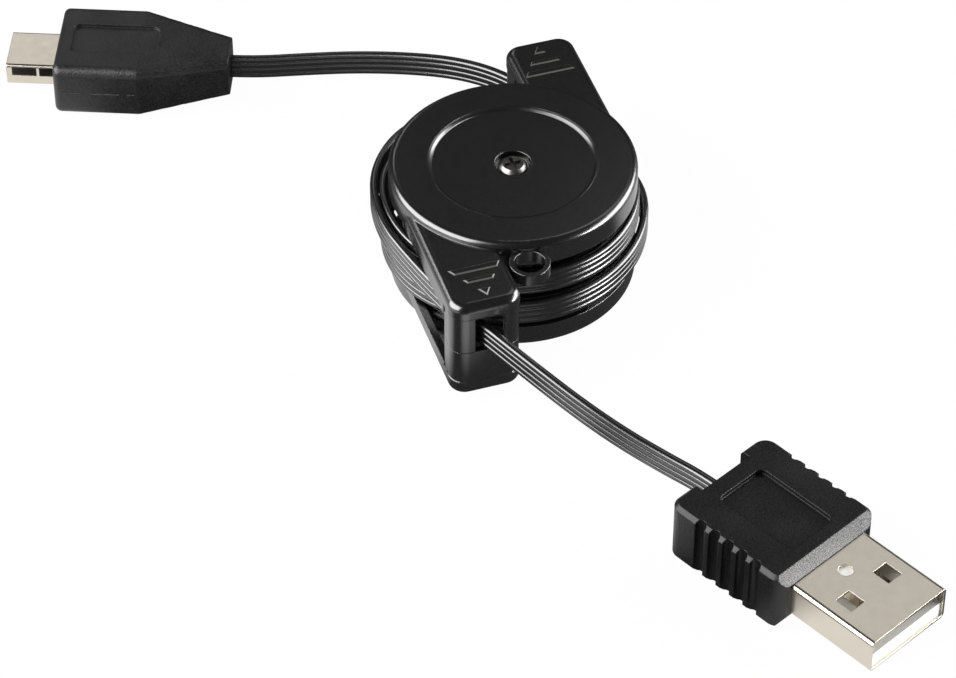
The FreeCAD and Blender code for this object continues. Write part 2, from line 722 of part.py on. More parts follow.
def large_overmold():
    """Moulded grip of the large plug: front face at x = 0, tip side along +X."""
    body = new_body("large_plug_grip")
    outline = sketch_on(body, "GripOutline", "XY_Plane")
    half = "large_width/2"
    notch = "large_notch_width/2"
    polygon(outline, [
        ("0", "-" + half), ("0", half), ("-large_length", half), ("-large_length", notch),
        ("-large_length + large_notch", notch), ("-large_length + large_notch", "-" + notch),
        ("-large_length", "-" + notch), ("-large_length", "-" + half),
    ])
    pad(body, "Grip", outline, "large_height")
    corner_x = value("large_length")
    corner_y = value("large_width/2")
    dress(body, "Fillet", "GripCorners", "large_corner",
          lambda edge: any(upright_at(edge, x, y) for x in (0, -corner_x) for y in (corner_y, -corner_y)))
    high = value("large_height")
    dress(body, "Chamfer", "GripEdges", "large_chamfer",
          lambda edge: ((flat_at(edge, high) or flat_at(edge, 0))
                        and abs(edge.CenterOfMass.y) > corner_y - DRAFT))
    slope = sketch_on(body, "SlopeSketch", "XZ_Plane", "large_width/2")
    polygon(slope, [("-large_slope_run", "large_height"), ("0", "large_height"),
                    ("0", "large_height - large_slope_fall")])
    polygon(slope, [("-large_slope_run", "0"), ("0", "large_slope_fall"), ("0", "0")])
    pocket(body, "Slopes", slope, "large_width")
    groove = sketch_on(body, "GrooveSketch", "XY_Plane", "large_height")
    circle(groove, "-groove_first", "large_width/2 - groove_sink", "groove_radius")
    circle(groove, "-groove_first", "-large_width/2 + groove_sink", "groove_radius")
    cut = pocket(body, "Groove", groove, "large_height")
    pattern = body.newObject("PartDesign::LinearPattern", "Grooves")
    pattern.Originals = [cut]
    pattern.Direction = (groove, ["H_Axis"])
    pattern.Reversed = True
    pattern.setExpression("Occurrences", cell("groove_count"))
    pattern.setExpression("Length", cell("groove_pitch*groove_count - groove_pitch"))
    body.Tip = pattern
    doc.recompute()
    panel = sketch_on(body, "PanelSketch", "XY_Plane", "large_height")
    rectangle(panel, "-large_panel_front - large_panel_length", "-large_panel_front",
              "-large_panel_width/2", "large_panel_width/2")
    pocket(body, "Panel", panel, "large_panel_depth")
    dress(body, "Fillet", "PanelCorners", "large_panel_corner", panel_corners("large"))
    seat = sketch_on(body, "SeatSketch", "YZ_Plane")
    rectangle(seat, "-large_shell_width/2", "large_shell_width/2",
              "large_height/2 - large_shell_height/2", "large_height/2 + large_shell_height/2")
    pocket(body, "Seat", seat, "shell_seat")
    seat_y = value("large_shell_width/2")
    low = value("large_height/2 - large_shell_height/2")
    height = value("large_height/2 + large_shell_height/2")
    dress(body, "Fillet", "SeatBends", "large_bend",
          lambda edge: along_x(edge, seat_y, low) or along_x(edge, seat_y, height))
    place(body, "large_x", "large_y", "large_yaw")
    return body


def panel_corners(size):
    """The upright edges at the corners of a grip's sunk panel."""
    front = value(f"{size}_panel_front")
    back = value(f"{size}_panel_front + {size}_panel_length")
    side = value(f"{size}_panel_width/2")
    return lambda edge: any(upright_at(edge, -x, y) for x in (front, back) for y in (side, -side))


def along_x(edge, y, z, reach=0.05):
    """A straight edge along X at the given side distance and height."""
    ends = [vertex.Point for vertex in edge.Vertexes]
    if len(ends) != 2 or abs(ends[0].x - ends[1].x) < reach:
        return False
    return all(abs(abs(end.y) - y) < reach and abs(end.z - z) < reach for end in ends)


def plug_shell(name, size, centre, seat, openings):
    """A folded sheet tube round a plug's mouth, with openings cut by a further function."""
    body = new_body(name)
    width = f"{size}_shell_width"
    height = f"{size}_shell_height"
    outside = sketch_on(body, name.title().replace("_", "") + "Outside", "YZ_Plane", f"-{seat}")
    rectangle(outside, f"-{width}/2", f"{width}/2", f"{centre} - {height}/2", f"{centre} + {height}/2")
    pad(body, name.title().replace("_", "") + "Tube", outside, f"{size}_shell_out + {seat}")
    side = value(f"{width}/2")
    low = value(f"{centre} - {height}/2")
    high = value(f"{centre} + {height}/2")
    dress(body, "Fillet", name.title().replace("_", "") + "Bends", f"{size}_bend",
          lambda edge: along_x(edge, side, low) or along_x(edge, side, high))
    mouth = sketch_on(body, name.title().replace("_", "") + "Mouth", "YZ_Plane", f"{size}_shell_out")
    sheet_name = f"{size}_sheet"
    rectangle(mouth, f"-{width}/2 + {sheet_name}", f"{width}/2 - {sheet_name}",
              f"{centre} - {height}/2 + {sheet_name}", f"{centre} + {height}/2 - {sheet_name}")
    pocket(body, name.title().replace("_", "") + "Hollow", mouth, f"{size}_shell_out + {seat}")
    openings(body)
    place(body, f"{size}_x", f"{size}_y", f"{size}_yaw")
    return body


def large_openings(body):
    """Two catch windows through both broad faces and the round hole behind them."""
    catches = sketch_on(body, "CatchSketch", "XY_Plane", "large_height")
    for side in ("catch_side", "-catch_side"):
        rectangle(catches, "catch_out - catch_length/2", "catch_out + catch_length/2",
                  f"{side} - catch_width/2", f"{side} + catch_width/2")
    pocket(body, "Catches", catches, "large_height")
    dimple = sketch_on(body, "DimpleSketch", "XY_Plane", "large_height")
    circle(dimple, "dimple_out", "0", "dimple_radius")
    pocket(body, "Dimple", dimple, "large_height/2")


def small_openings(body):
    """Two windows in each side, either side of a short bar."""
    sides = sketch_on(body, "SideWindowSketch", "XZ_Plane", "small_width/2")
    low = "small_height/2 + small_shell_height/2 - small_sheet - side_window_height"
    high = "small_height/2 + small_shell_height/2 - small_sheet"
    tip = "small_shell_out - side_window_tip"
    rectangle(sides, tip + " - side_window_front", tip, low, high)
    back = tip + " - side_window_front - side_window_bar"
    rectangle(sides, back + " - side_window_back", back, low, high)
    pocket(body, "SideWindows", sides, "small_width")


def bar(name, size, low_x, length, low_y, width, low_z, height):
    """A plain moulded or stamped bar in a plug's local frame."""
    body = new_body(name)
    sketch = sketch_on(body, name.title().replace("_", "") + "Sketch", "XY_Plane", low_z)
    rectangle(sketch, low_x, f"{low_x} + {length}", low_y, f"{low_y} + {width}")
    pad(body, name.title().replace("_", "") + "Bar", sketch, height)
    place(body, f"{size}_x", f"{size}_y", f"{size}_yaw")
    return body


def plug_tongue(name, size, height, pads, pad_thick, pad_stand):
    """The insulating tongue in a plug's mouth, with a bed sunk for each contact."""
    sheet_name = f"{size}_sheet"
    floor = f"{size}_height/2 - {size}_shell_height/2 + {sheet_name}"
    body = bar(name, size, "-shell_seat", f"{size}_shell_out + shell_seat - tongue_short",
               f"-{size}_shell_width/2 + {sheet_name}", f"{size}_shell_width - {sheet_name}*2",
               floor, height)
    beds = sketch_on(body, name.title().replace("_", "") + "Beds", "XY_Plane", f"{floor} + {height}")
    for low_x, length, low_y, width in pads:
        rectangle(beds, low_x, f"{low_x} + {length}", low_y, f"{low_y} + {width}")
    pocket(body, name.title().replace("_", "") + "Bedding", beds, f"{pad_thick} - {pad_stand}")
    return body


def large_pads():
    """Contact places: the outer pair reaches further forward, to mate first."""
    front = "large_shell_out - pad_setback"
    rows = []
    for side in ("-pad_outer", "-pad_inner", "pad_inner", "pad_outer"):
        length = "pad_outer_length" if "outer" in side else "pad_inner_length"
        reach = front if "outer" in side else front + " - pad_outer_length + pad_inner_length"
        rows.append((f"{reach} - {length}", length, f"{side} - pad_width/2", "pad_width"))
    return rows


def small_pads():
    front = "small_shell_out - tongue_short*2"
    rows = []
    for index in range(SMALL_CONTACTS):
        side = f"small_pad_pitch*{index - SMALL_CONTACTS // 2}" if index >= SMALL_CONTACTS // 2 else (
            f"-small_pad_pitch*{SMALL_CONTACTS // 2 - index}")
        rows.append((f"{front} - small_pad_length", "small_pad_length",
                     f"{side} - small_pad_width/2", "small_pad_width"))
    return rows


def small_overmold():
    """Moulded grip of the small plug: a straight front part lofted down to the cord."""
    body = new_body("small_plug_grip")
    front = boxed_section(body, "SmallFront", "YZ_Plane", SMALL_CENTRE, "small_width", "small_height", "0")
    pad(body, "SmallStraight", front, "small_straight", reverse=True)
    wide = boxed_section(body, "SmallWide", "YZ_Plane", SMALL_CENTRE, "small_width", "small_height",
                         "-small_straight")
    tail = boxed_section(body, "SmallTail", "YZ_Plane", SMALL_CENTRE, "small_tail_width",
                         "small_tail_height", "-small_length")
    loft = body.newObject("PartDesign::AdditiveLoft", "SmallTaper")
    loft.Profile = wide
    loft.Sections = [tail]
    doc.recompute()
    panel = sketch_on(body, "SmallPanelSketch", "XY_Plane", "small_height")
    rectangle(panel, "-small_panel_front - small_panel_length", "-small_panel_front",
              "-small_panel_width/2", "small_panel_width/2")
    long_edges = small_long_edges()
    dress(body, "Fillet", "SmallEdges", "small_edge", long_edges)
    dress(body, "Fillet", "SmallNose", "small_nose", lambda edge: edge.BoundBox.XMin > -DRAFT)
    pocket(body, "SmallPanel", panel, "small_panel_depth")
    dress(body, "Fillet", "SmallPanelCorners", "small_panel_corner", panel_corners("small"))
    seat = sketch_on(body, "SmallSeatSketch", "YZ_Plane")
    rectangle(seat, "-small_shell_width/2", "small_shell_width/2",
              "small_height/2 - small_shell_height/2", "small_height/2 + small_shell_height/2")
    pocket(body, "SmallSeat", seat, "shell_seat")
    side = value("small_shell_width/2")
    low = value("small_height/2 - small_shell_height/2")
    high = value("small_height/2 + small_shell_height/2")
    dress(body, "Fillet", "SmallSeatBends", "small_bend",
          lambda edge: along_x(edge, side, low) or along_x(edge, side, high))
    place(body, "small_x", "small_y", "small_yaw")
    return body


def small_long_edges():
    """The grip's four long edges, along the straight part and down the taper."""
    def test(edge):
        ends = [vertex.Point for vertex in edge.Vertexes]
        return len(ends) == 2 and abs(ends[0].x - ends[1].x) > value("small_straight/2")
    return test


UPPER_LANE = "reel_height/2 + flange/2 + lane_gap"
LOWER_LANE = "reel_height/2 - flange/2 - lane_gap - cord_width"
shells = [top_shell(), bottom_shell(), centre_screw(), ratchet_ball()]
wound = [
    spool(),
    mainspring(),
    wound_cord("wound_cord_upper", UPPER_LANE),
    wound_cord("wound_cord_lower", LOWER_LANE),
]

large_back = value("large_length - large_notch")
small_back = value("small_length")
large_level = value(LARGE_CENTRE)
small_level = value(SMALL_CENTRE)
LARGE_PLACE = ("large_x", "large_y", "large_yaw")
SMALL_PLACE = ("small_x", "small_y", "small_yaw")
loose_a = loose_turn(CORD_A_FIRST, CORD_A_RADII, value(UPPER_LANE + " + cord_width/2"))
loose_b = loose_turn(CORD_B_FIRST, CORD_B_RADII, value(LOWER_LANE + " + cord_width/2"))
cords = [
    cord("cord_a", loose_a + CORD_A_ROUTE, plug_point(*LARGE_PLACE, large_back, large_level),
         plug_point(*LARGE_PLACE, large_back + CORD_LAST_RUN, large_level)),
    cord("cord_b", loose_b + CORD_B_ROUTE, plug_point(*SMALL_PLACE, small_back, small_level),
         plug_point(*SMALL_PLACE, small_back + CORD_LAST_RUN, small_level)),
]

large_plug = [
    large_overmold(),
    plug_shell("large_plug_shell", "large", LARGE_CENTRE, "shell_seat", large_openings),
    plug_tongue("large_plug_tongue", "large", "tongue_height", large_pads(), "pad_thick", "pad_stand"),
]
large_bed = ("large_height/2 - large_shell_height/2 + large_sheet + tongue_height"
             " - pad_thick + pad_stand")
for index, spot in enumerate(large_pads(), start=1):
    large_plug.append(bar(f"large_plug_contact_{index}", "large", *spot, large_bed, "pad_thick"))

small_plug = [
    small_overmold(),
    plug_shell("small_plug_shell", "small", SMALL_CENTRE, "shell_seat", small_openings),
    plug_tongue("small_plug_tongue", "small", "insert_height", small_pads(),
                "small_pad_thick", "pad_stand"),
]
small_bed = ("small_height/2 - small_shell_height/2 + small_sheet + insert_height"
             " - small_pad_thick + pad_stand")
for index, spot in enumerate(small_pads(), start=1):
    small_plug.append(bar(f"small_plug_contact_{index}", "small", *spot, small_bed, "small_pad_thick"))

doc.recompute()
for item in doc.Objects:
    if {"Invalid", "Error"} & set(item.State):
        raise RuntimeError(f"{item.Name} failed: {item.State}")

os.makedirs("parts", exist_ok=True)
for item in shells + wound + cords + large_plug + small_plug:
    shape = item.Shape
    if shape.isNull() or not shape.isValid() or not shape.Solids:
        raise RuntimeError(f"{item.Label} has no valid solid")
    shape.exportStep(f"parts/{item.Label}.step")
    print(item.Label, "solids", len(shape.Solids), "volume", round(shape.Volume, 2))
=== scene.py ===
"""A retractable flat-cord cable with two plugs, dressed for a photograph on a white sweep."""

import math

import bmesh
import bpy
from mathutils import Matrix, Quaternion, Vector

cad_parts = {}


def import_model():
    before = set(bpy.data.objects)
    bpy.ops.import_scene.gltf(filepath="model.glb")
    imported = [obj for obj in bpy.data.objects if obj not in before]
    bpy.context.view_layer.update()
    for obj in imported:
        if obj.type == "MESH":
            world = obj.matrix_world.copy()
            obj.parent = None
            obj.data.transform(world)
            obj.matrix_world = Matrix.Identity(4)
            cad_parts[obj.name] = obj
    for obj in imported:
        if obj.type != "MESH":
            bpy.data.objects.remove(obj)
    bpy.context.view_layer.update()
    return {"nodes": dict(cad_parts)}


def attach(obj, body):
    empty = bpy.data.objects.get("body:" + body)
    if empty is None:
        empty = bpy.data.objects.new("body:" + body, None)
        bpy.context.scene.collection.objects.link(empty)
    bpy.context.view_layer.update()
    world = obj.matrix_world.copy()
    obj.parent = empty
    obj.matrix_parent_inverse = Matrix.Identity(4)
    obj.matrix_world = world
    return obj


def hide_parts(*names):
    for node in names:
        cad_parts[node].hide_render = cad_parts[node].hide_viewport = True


MM = 0.001

# Each cord's loose turn on the reel, as radii at even steps of angle, and its free route, in millimetres.
LOOSE_STEP = 30
CORDS = {
    "cord_a": {
        "first": 60,
        "radii": [14.3, 15.2, 15.9, 16.2, 15.4, 15.3, 15.2, 15.1, 15.1, 15.05, 15.1, 15.4, 15.9, 16.9,
                  17.9, 17.3, 16.55],
        "level": 10.2,
        "route": [
            (-14.9, -8.0, 10.2), (-12.9, -15.0, 10.2), (-10.1, -21.6, 10.1), (-6.8, -27.5, 9.0),
            (-3.0, -33.2, 7.3), (0.7, -37.8, 5.7), (4.3, -41.9, 4.6), (7.474, -45.734, 4.03),
            (8.867, -48.615, 4.03),
        ],
        "plug": "large_plug",
    },
    "cord_b": {
        "first": -390,
        "radii": [14.3, 15.5, 15.8, 15.8, 15.7, 15.7, 15.8, 15.9, 16.0, 15.7, 15.5, 15.3, 15.75, 16.9],
        "level": 6.0,
        "route": [
            (15.0, 8.4, 6.0), (12.45, 15.0, 6.0), (9.8, 21.5, 6.0), (7.0, 26.4, 5.9),
            (2.9, 30.5, 5.6), (-2.4, 33.7, 5.2), (-8.6, 36.6, 4.7), (-14.7, 38.9, 4.1),
            (-20.426, 40.761, 3.65), (-23.403, 41.934, 3.65),
        ],
        "plug": "small_plug",
    },
}
ROUTE_ORDER = 3
ROUTE_STEPS = 10

# The cords' section, a flat ribbon of round ribs, in millimetres, with the points across each rib.
RIBBON_WIDTH = 3.3
RIBBON_LOBES = 4
RIBBON_CREST = 0.5
RIBBON_VALLEY = 0.3
LOBE_STEPS = 8

# The turns on the drum: their radii in millimetres, and each cord's height and the angle of its ends.
WOUND_FIRST = 9.6
WOUND_LAST = 12.84
WOUND_COUNT = 3
WOUND_STEPS = 96
WOUND_CORDS = {"wound_cord_upper": (10.2, 80), "wound_cord_lower": (6.0, -66)}

# Pull marks, in millimetres: a triangle that points out along each arm, cut across into three slices.
ARM_FACE = 15.3
MARK_MIDDLE = 9.75
MARK_HALF = 3.15
MARK_BASE = 14.95
MARK_TIP = 20.15
MARK_SLICES = [(MARK_BASE, 15.90), (16.95, 17.65), (18.90, MARK_TIP)]
MARK_RISE = 0.12
MARK_SLOPE = 0.16
TIP_INSET_SHARE = 1.5
WELD = 0.01

# The slope round the top disc's recess, in millimetres.
DISC_FACE = 16.19
RECESS_FLOOR = 15.9
RECESS_RADIUS = 10.06
BEVEL_RUN = 0.5
BEVEL_SINK = 0.05
BEVEL_STEPS = 6
BEVEL_AROUND = 192

# The white block in the large plug's shell, in millimetres from the grip's front along the plug.
LARGE_PLACE = (15.7, -62.75, 0)
LARGE_YAW = -64.2
BLOCK_BACK = -1.9
BLOCK_FRONT = 3.6
BLOCK_HALF = 5.7
BLOCK_LOW = 4.2
BLOCK_TOP = 5.98
BLOCK_BEVEL = 0.3

# The mould line on both sides of the small plug's grip, as runs back from the grip's front, in millimetres.
SMALL_PLACE = (-43.5, 49.85, 0)
SMALL_YAW = 158.5
SMALL_HALF = 6.5
FLASH_LEVEL = 3.65
FLASH_HALF = 0.1
FLASH_RISE = 0.08
FLASH_SINK = -0.15
FLASH_RUNS = [(0.9, 1.6), (1.9, 3.4), (4.6, 6.0), (6.2, 8.3), (9.3, 10.2)]

# Finishes: the noise's useful middle, its scale per metre, and how strongly each kind of surface shows it.
NOISE_LOW = 0.3
NOISE_HIGH = 0.7
PLAIN_DETAIL = 2
FLOW_SCALE = 140
FLOW_AND_GRAIN_LOW = 0.75
FLOW_AND_GRAIN_HIGH = 1.3
GRAIN_STRENGTH = 0.5
STREAK_SCALE = 900
STREAK_DETAIL = 4
STREAK_STRENGTH = 0.04
STREAK_DEPTH = 0.00002
CLOUD_SCALE = 260
CLOUD_SHADE = 0.97
EDGE_SAMPLES = 6

# How far up a face looks, from 0 to 1, where the painted highlight on a sloped face is full and where there
# is none.
HIGHLIGHT_FULL = 0.9
HIGHLIGHT_NONE = 0.98

# Where the floor looks white in a mirror, as x, y and radius in millimetres: beside both metal shells,
# left and right of the reel, beside the cord to the large plug, and far out to the left and right.
WHITE_PATCHES = [(13, -74, 8), (-49, 47, 6), (-26, 0, 15), (30, 2, 10), (-15, -36, 4), (-4, -45, 4),
                 (-110, -15, 70), (110, -15, 60)]
PATCH_FADE = 6

# The stage, in metres. Brightness 1 looks white.
FLOOR_SIZE = 4.0
FLOOR_LEVEL = -0.00005
FLOOR_GREY = (0.8, 0.8, 0.8, 1)
FLOOR_WHITENESS = 0.97
FLOOR_IN_MIRROR = 0.10
PATCH_IN_MIRROR = 0.95
SKY_GLOW = 0.04
WHITE = (1, 1, 1, 1)
REEL_MIDDLE = (0, 0, 0.01)

# The camera, in metres and degrees, with its lens measured in the picture's pixels.
IMAGE_WIDTH = 956
FOCAL_PIXELS = 4000
SENSOR = 36
CLIP_NEAR = 0.01
CLIP_FAR = 10
CAMERA_PLACE = (-0.11382, -0.33695, 0.32560)
CAMERA_DOWN = 43.57
CAMERA_TURN = -18


# Node trees

def feed(tree, target, source):
    """Link a socket, or set a plain value."""
    if isinstance(source, bpy.types.NodeSocket):
        tree.links.new(source, target)
    else:
        target.default_value = source


def calculate(tree, operation, first, second=None):
    """The result of one sum on one or two values, each a socket or a plain number."""
    node = tree.nodes.new("ShaderNodeMath")
    node.operation = operation
    feed(tree, node.inputs[0], first)
    if second is not None:
        feed(tree, node.inputs[1], second)
    return node.outputs["Value"]


def largest(tree, values):
    """The largest of several values."""
    result = values[0]
    for value in values[1:]:
        result = calculate(tree, "MAXIMUM", result, value)
    return result


def spread(tree, source, low, high, start=NOISE_LOW, end=NOISE_HIGH):
    """Map the range from start to end, by default a noise's useful middle, to the range from low to high."""
    ramp = tree.nodes.new("ShaderNodeMapRange")
    ramp.inputs["From Min"].default_value = start
    ramp.inputs["From Max"].default_value = end
    ramp.inputs["To Min"].default_value = low
    ramp.inputs["To Max"].default_value = high
    tree.links.new(source, ramp.inputs["Value"])
    return ramp.outputs["Result"]


# Materials

def principled(name, colour, roughness, metallic=0.0):
    """A new material and its node tree, main shader and texture coordinate."""
    material = bpy.data.materials.new(name)
    material.use_nodes = True
    tree = material.node_tree
    shader = tree.nodes["Principled BSDF"]
    shader.inputs["Base Color"].default_value = (*colour, 1)
    shader.inputs["Roughness"].default_value = roughness
    shader.inputs["Metallic"].default_value = metallic
    place = tree.nodes.new("ShaderNodeTexCoord")
    return material, tree, shader, place


def noise(tree, place, scale, detail, stretch=(1, 1, 1)):
    """Noise in the object's own metres; a stretch above 1 squeezes the grain along that axis."""
    mapping = tree.nodes.new("ShaderNodeMapping")
    mapping.inputs["Scale"].default_value = stretch
    texture = tree.nodes.new("ShaderNodeTexNoise")
    texture.inputs["Scale"].default_value = scale
    texture.inputs["Detail"].default_value = detail
    tree.links.new(place.outputs["Object"], mapping.inputs["Vector"])
    tree.links.new(mapping.outputs["Vector"], texture.inputs["Vector"])
    return texture.outputs["Fac"]


def tint(tree, weight, shader, dark, light):
    """Blend two close colours by a weight, for a surface that isn't one flat colour."""
    mix = tree.nodes.new("ShaderNodeMix")
    mix.data_type = "RGBA"
    mix.inputs["A"].default_value = (*dark, 1)
    mix.inputs["B"].default_value = (*light, 1)
    tree.links.new(weight, mix.inputs["Factor"])
    tree.links.new(mix.outputs["Result"], shader.inputs["Base Color"])


def relief(tree, shader, height, strength, depth, edge):
    """Bump from a noise, over edges softened by a small rounding where one is given."""
    bump = tree.nodes.new("ShaderNodeBump")
    bump.inputs["Strength"].default_value = strength
    bump.inputs["Distance"].default_value = depth
    tree.links.new(height, bump.inputs["Height"])
    if edge:
        soft = tree.nodes.new("ShaderNodeBevel")
        soft.inputs["Radius"].default_value = edge
        soft.samples = EDGE_SAMPLES
        tree.links.new(soft.outputs["Normal"], bump.inputs["Normal"])
    tree.links.new(bump.outputs["Normal"], shader.inputs["Normal"])


def moulded(name, dark, light, rough, grain, depth, edge, shine=0.5, index=1.5):
    """Moulded plastic: fine spark-eroded grain, faint flow shading, soft edges."""
    material, tree, shader, place = principled(name, dark, rough[1])
    shader.inputs["Specular IOR Level"].default_value = shine
    shader.inputs["IOR"].default_value = index
    flow = noise(tree, place, FLOW_SCALE, PLAIN_DETAIL)
    texture = noise(tree, place, grain, PLAIN_DETAIL)
    both = calculate(tree, "ADD", flow, texture)
    tint(tree, spread(tree, both, 0, 1, FLOW_AND_GRAIN_LOW, FLOW_AND_GRAIN_HIGH), shader, dark, light)
    tree.links.new(spread(tree, texture, *rough), shader.inputs["Roughness"])
    relief(tree, shader, texture, GRAIN_STRENGTH, depth, edge)
    return material


def plated(name, colour, rough, edge, stretch=(1, 1, 1)):
    """Bright metal, a little cloudy, with a fine grain that a stretch turns into rolling marks."""
    material, tree, shader, place = principled(name, colour, rough[1], 1.0)
    streak = noise(tree, place, STREAK_SCALE, STREAK_DETAIL, stretch)
    tree.links.new(spread(tree, streak, *rough), shader.inputs["Roughness"])
    cloud = noise(tree, place, CLOUD_SCALE, PLAIN_DETAIL)
    darker = tuple(channel * CLOUD_SHADE for channel in colour)
    tint(tree, spread(tree, cloud, 0, 1), shader, darker, colour)
    relief(tree, shader, streak, STREAK_STRENGTH, STREAK_DEPTH, edge)
    return material


def paint_slope_highlight(material, highlight_colour):
    """Paint a finish lighter wherever the surface slopes, a painted highlight that makes low raised marks
    show their outline.
    """
    tree = material.node_tree
    colour = tree.nodes["Principled BSDF"].inputs["Base Color"]
    facing = tree.nodes.new("ShaderNodeNewGeometry")
    upward = tree.nodes.new("ShaderNodeSeparateXYZ")
    tree.links.new(facing.outputs["True Normal"], upward.inputs["Vector"])
    mix = tree.nodes.new("ShaderNodeMix")
    mix.data_type = "RGBA"
    mix.inputs["B"].default_value = (*highlight_colour, 1)
    tree.links.new(colour.links[0].from_socket, mix.inputs["A"])
    tree.links.new(spread(tree, upward.outputs["Z"], 1, 0, HIGHLIGHT_FULL, HIGHLIGHT_NONE), mix.inputs["Factor"])
    tree.links.new(mix.outputs["Result"], colour)
    return material


def make_materials():
    """Every finish by its short name, with grain per metre, and depth and edge rounding in metres."""
    mark = moulded("mark_black_slope_highlight", (0.003, 0.003, 0.003), (0.006, 0.006, 0.006),
                   rough=(0.30, 0.40), grain=6500, depth=0.000003, edge=0.0)
    return {
        "housing": moulded("housing_black", (0.0024, 0.0023, 0.0022), (0.0042, 0.0040, 0.0038),
                           rough=(0.19, 0.25), grain=6500, depth=0.000002, edge=0.00018,
                           shine=0.85, index=1.8),
        # The marks' sloped sides are painted lighter, a painted highlight that draws their outline.
        "mark": paint_slope_highlight(mark, (0.085, 0.083, 0.08)),
        "spool": moulded("spool_black", (0.004, 0.004, 0.004), (0.008, 0.008, 0.008),
                         rough=(0.32, 0.45), grain=3000, depth=0.00001, edge=0.0001, shine=0.3),
        "grip": moulded("grip_black", (0.001, 0.001, 0.001), (0.011, 0.0108, 0.0106),
                        rough=(0.30, 0.40), grain=5000, depth=0.00008, edge=0.0002, shine=0.40),
        "small_grip": moulded("small_grip_black", (0.002, 0.002, 0.002), (0.016, 0.0156, 0.0156),
                              rough=(0.34, 0.44), grain=4000, depth=0.00008, edge=0.00012, shine=0.75),
        # The mould line's ridges are a lighter grey than the grip.
        "flash": moulded("flash_lighter_grey", (0.04, 0.039, 0.038), (0.09, 0.088, 0.086),
                         rough=(0.4, 0.5), grain=4000, depth=0.00001, edge=0.0),
        "jacket": moulded("jacket_black", (0.0025, 0.0025, 0.0025), (0.0045, 0.0045, 0.0045),
                          rough=(0.23, 0.26), grain=1500, depth=0.000001, edge=0.0,
                          shine=0.95, index=1.75),
        "nickel": plated("plug_nickel", (0.74, 0.68, 0.58), rough=(0.20, 0.23), edge=0.0001),
        "screw": plated("screw_nickel", (0.22, 0.216, 0.21), rough=(0.25, 0.4), edge=0.00006),
        "steel": plated("spring_steel", (0.55, 0.55, 0.56), rough=(0.2, 0.35), edge=0.0,
                        stretch=(1, 1, 20)),
        "contact": plated("contact_plating", (0.72, 0.66, 0.54), rough=(0.18, 0.3), edge=0.0),
        "white": moulded("tongue_white", (0.78, 0.78, 0.76), (0.86, 0.86, 0.84),
                         rough=(0.35, 0.45), grain=2500, depth=0.00001, edge=0.00008),
        "insert": moulded("insert_black", (0.02, 0.02, 0.02), (0.03, 0.03, 0.03),
                          rough=(0.4, 0.5), grain=2500, depth=0.00001, edge=0.00005),
    }


def node_finish(node):
    """Which finish a CAD node takes."""
    if "contact" in node:
        return "contact"
    return {
        "top_shell": "housing", "bottom_shell": "housing", "centre_screw": "screw",
        "ratchet_ball": "steel", "spool": "spool", "mainspring": "steel",
        "large_plug_grip": "grip", "small_plug_grip": "small_grip",
        "large_plug_shell": "nickel", "small_plug_shell": "nickel",
        "large_plug_tongue": "white", "small_plug_tongue": "insert",
    }.get(node, "jacket")


def dress(piece, finish):
    """Give a piece one finish."""
    piece.data.materials.clear()
    piece.data.materials.append(finish)


# Pieces and cords

def new_piece(name, mesh, material, body):
    """Add a mesh to the scene as a piece that moves with a body."""
    piece = bpy.data.objects.new(name, mesh)
    bpy.context.scene.collection.objects.link(piece)
    dress(piece, material)
    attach(piece, body)
    return piece


class Nodes:
    """A geometry node tree under construction."""

    def __init__(self, name):
        self.tree = bpy.data.node_groups.new(name, "GeometryNodeTree")
        self.sockets = {}

    def socket(self, name, kind, default=None, out=False):
        item = self.tree.interface.new_socket(name, in_out="OUTPUT" if out else "INPUT", socket_type=kind)
        if default is not None:
            item.default_value = default
        self.sockets[name] = item.identifier

    def add(self, kind, **settings):
        node = self.tree.nodes.new(kind)
        for key, setting in settings.items():
            setattr(node, key, setting)
        return node

    def feed(self, target, source):
        feed(self.tree, target, source)

    def sum(self, operation, first, second=None):
        return calculate(self.tree, operation, first, second)


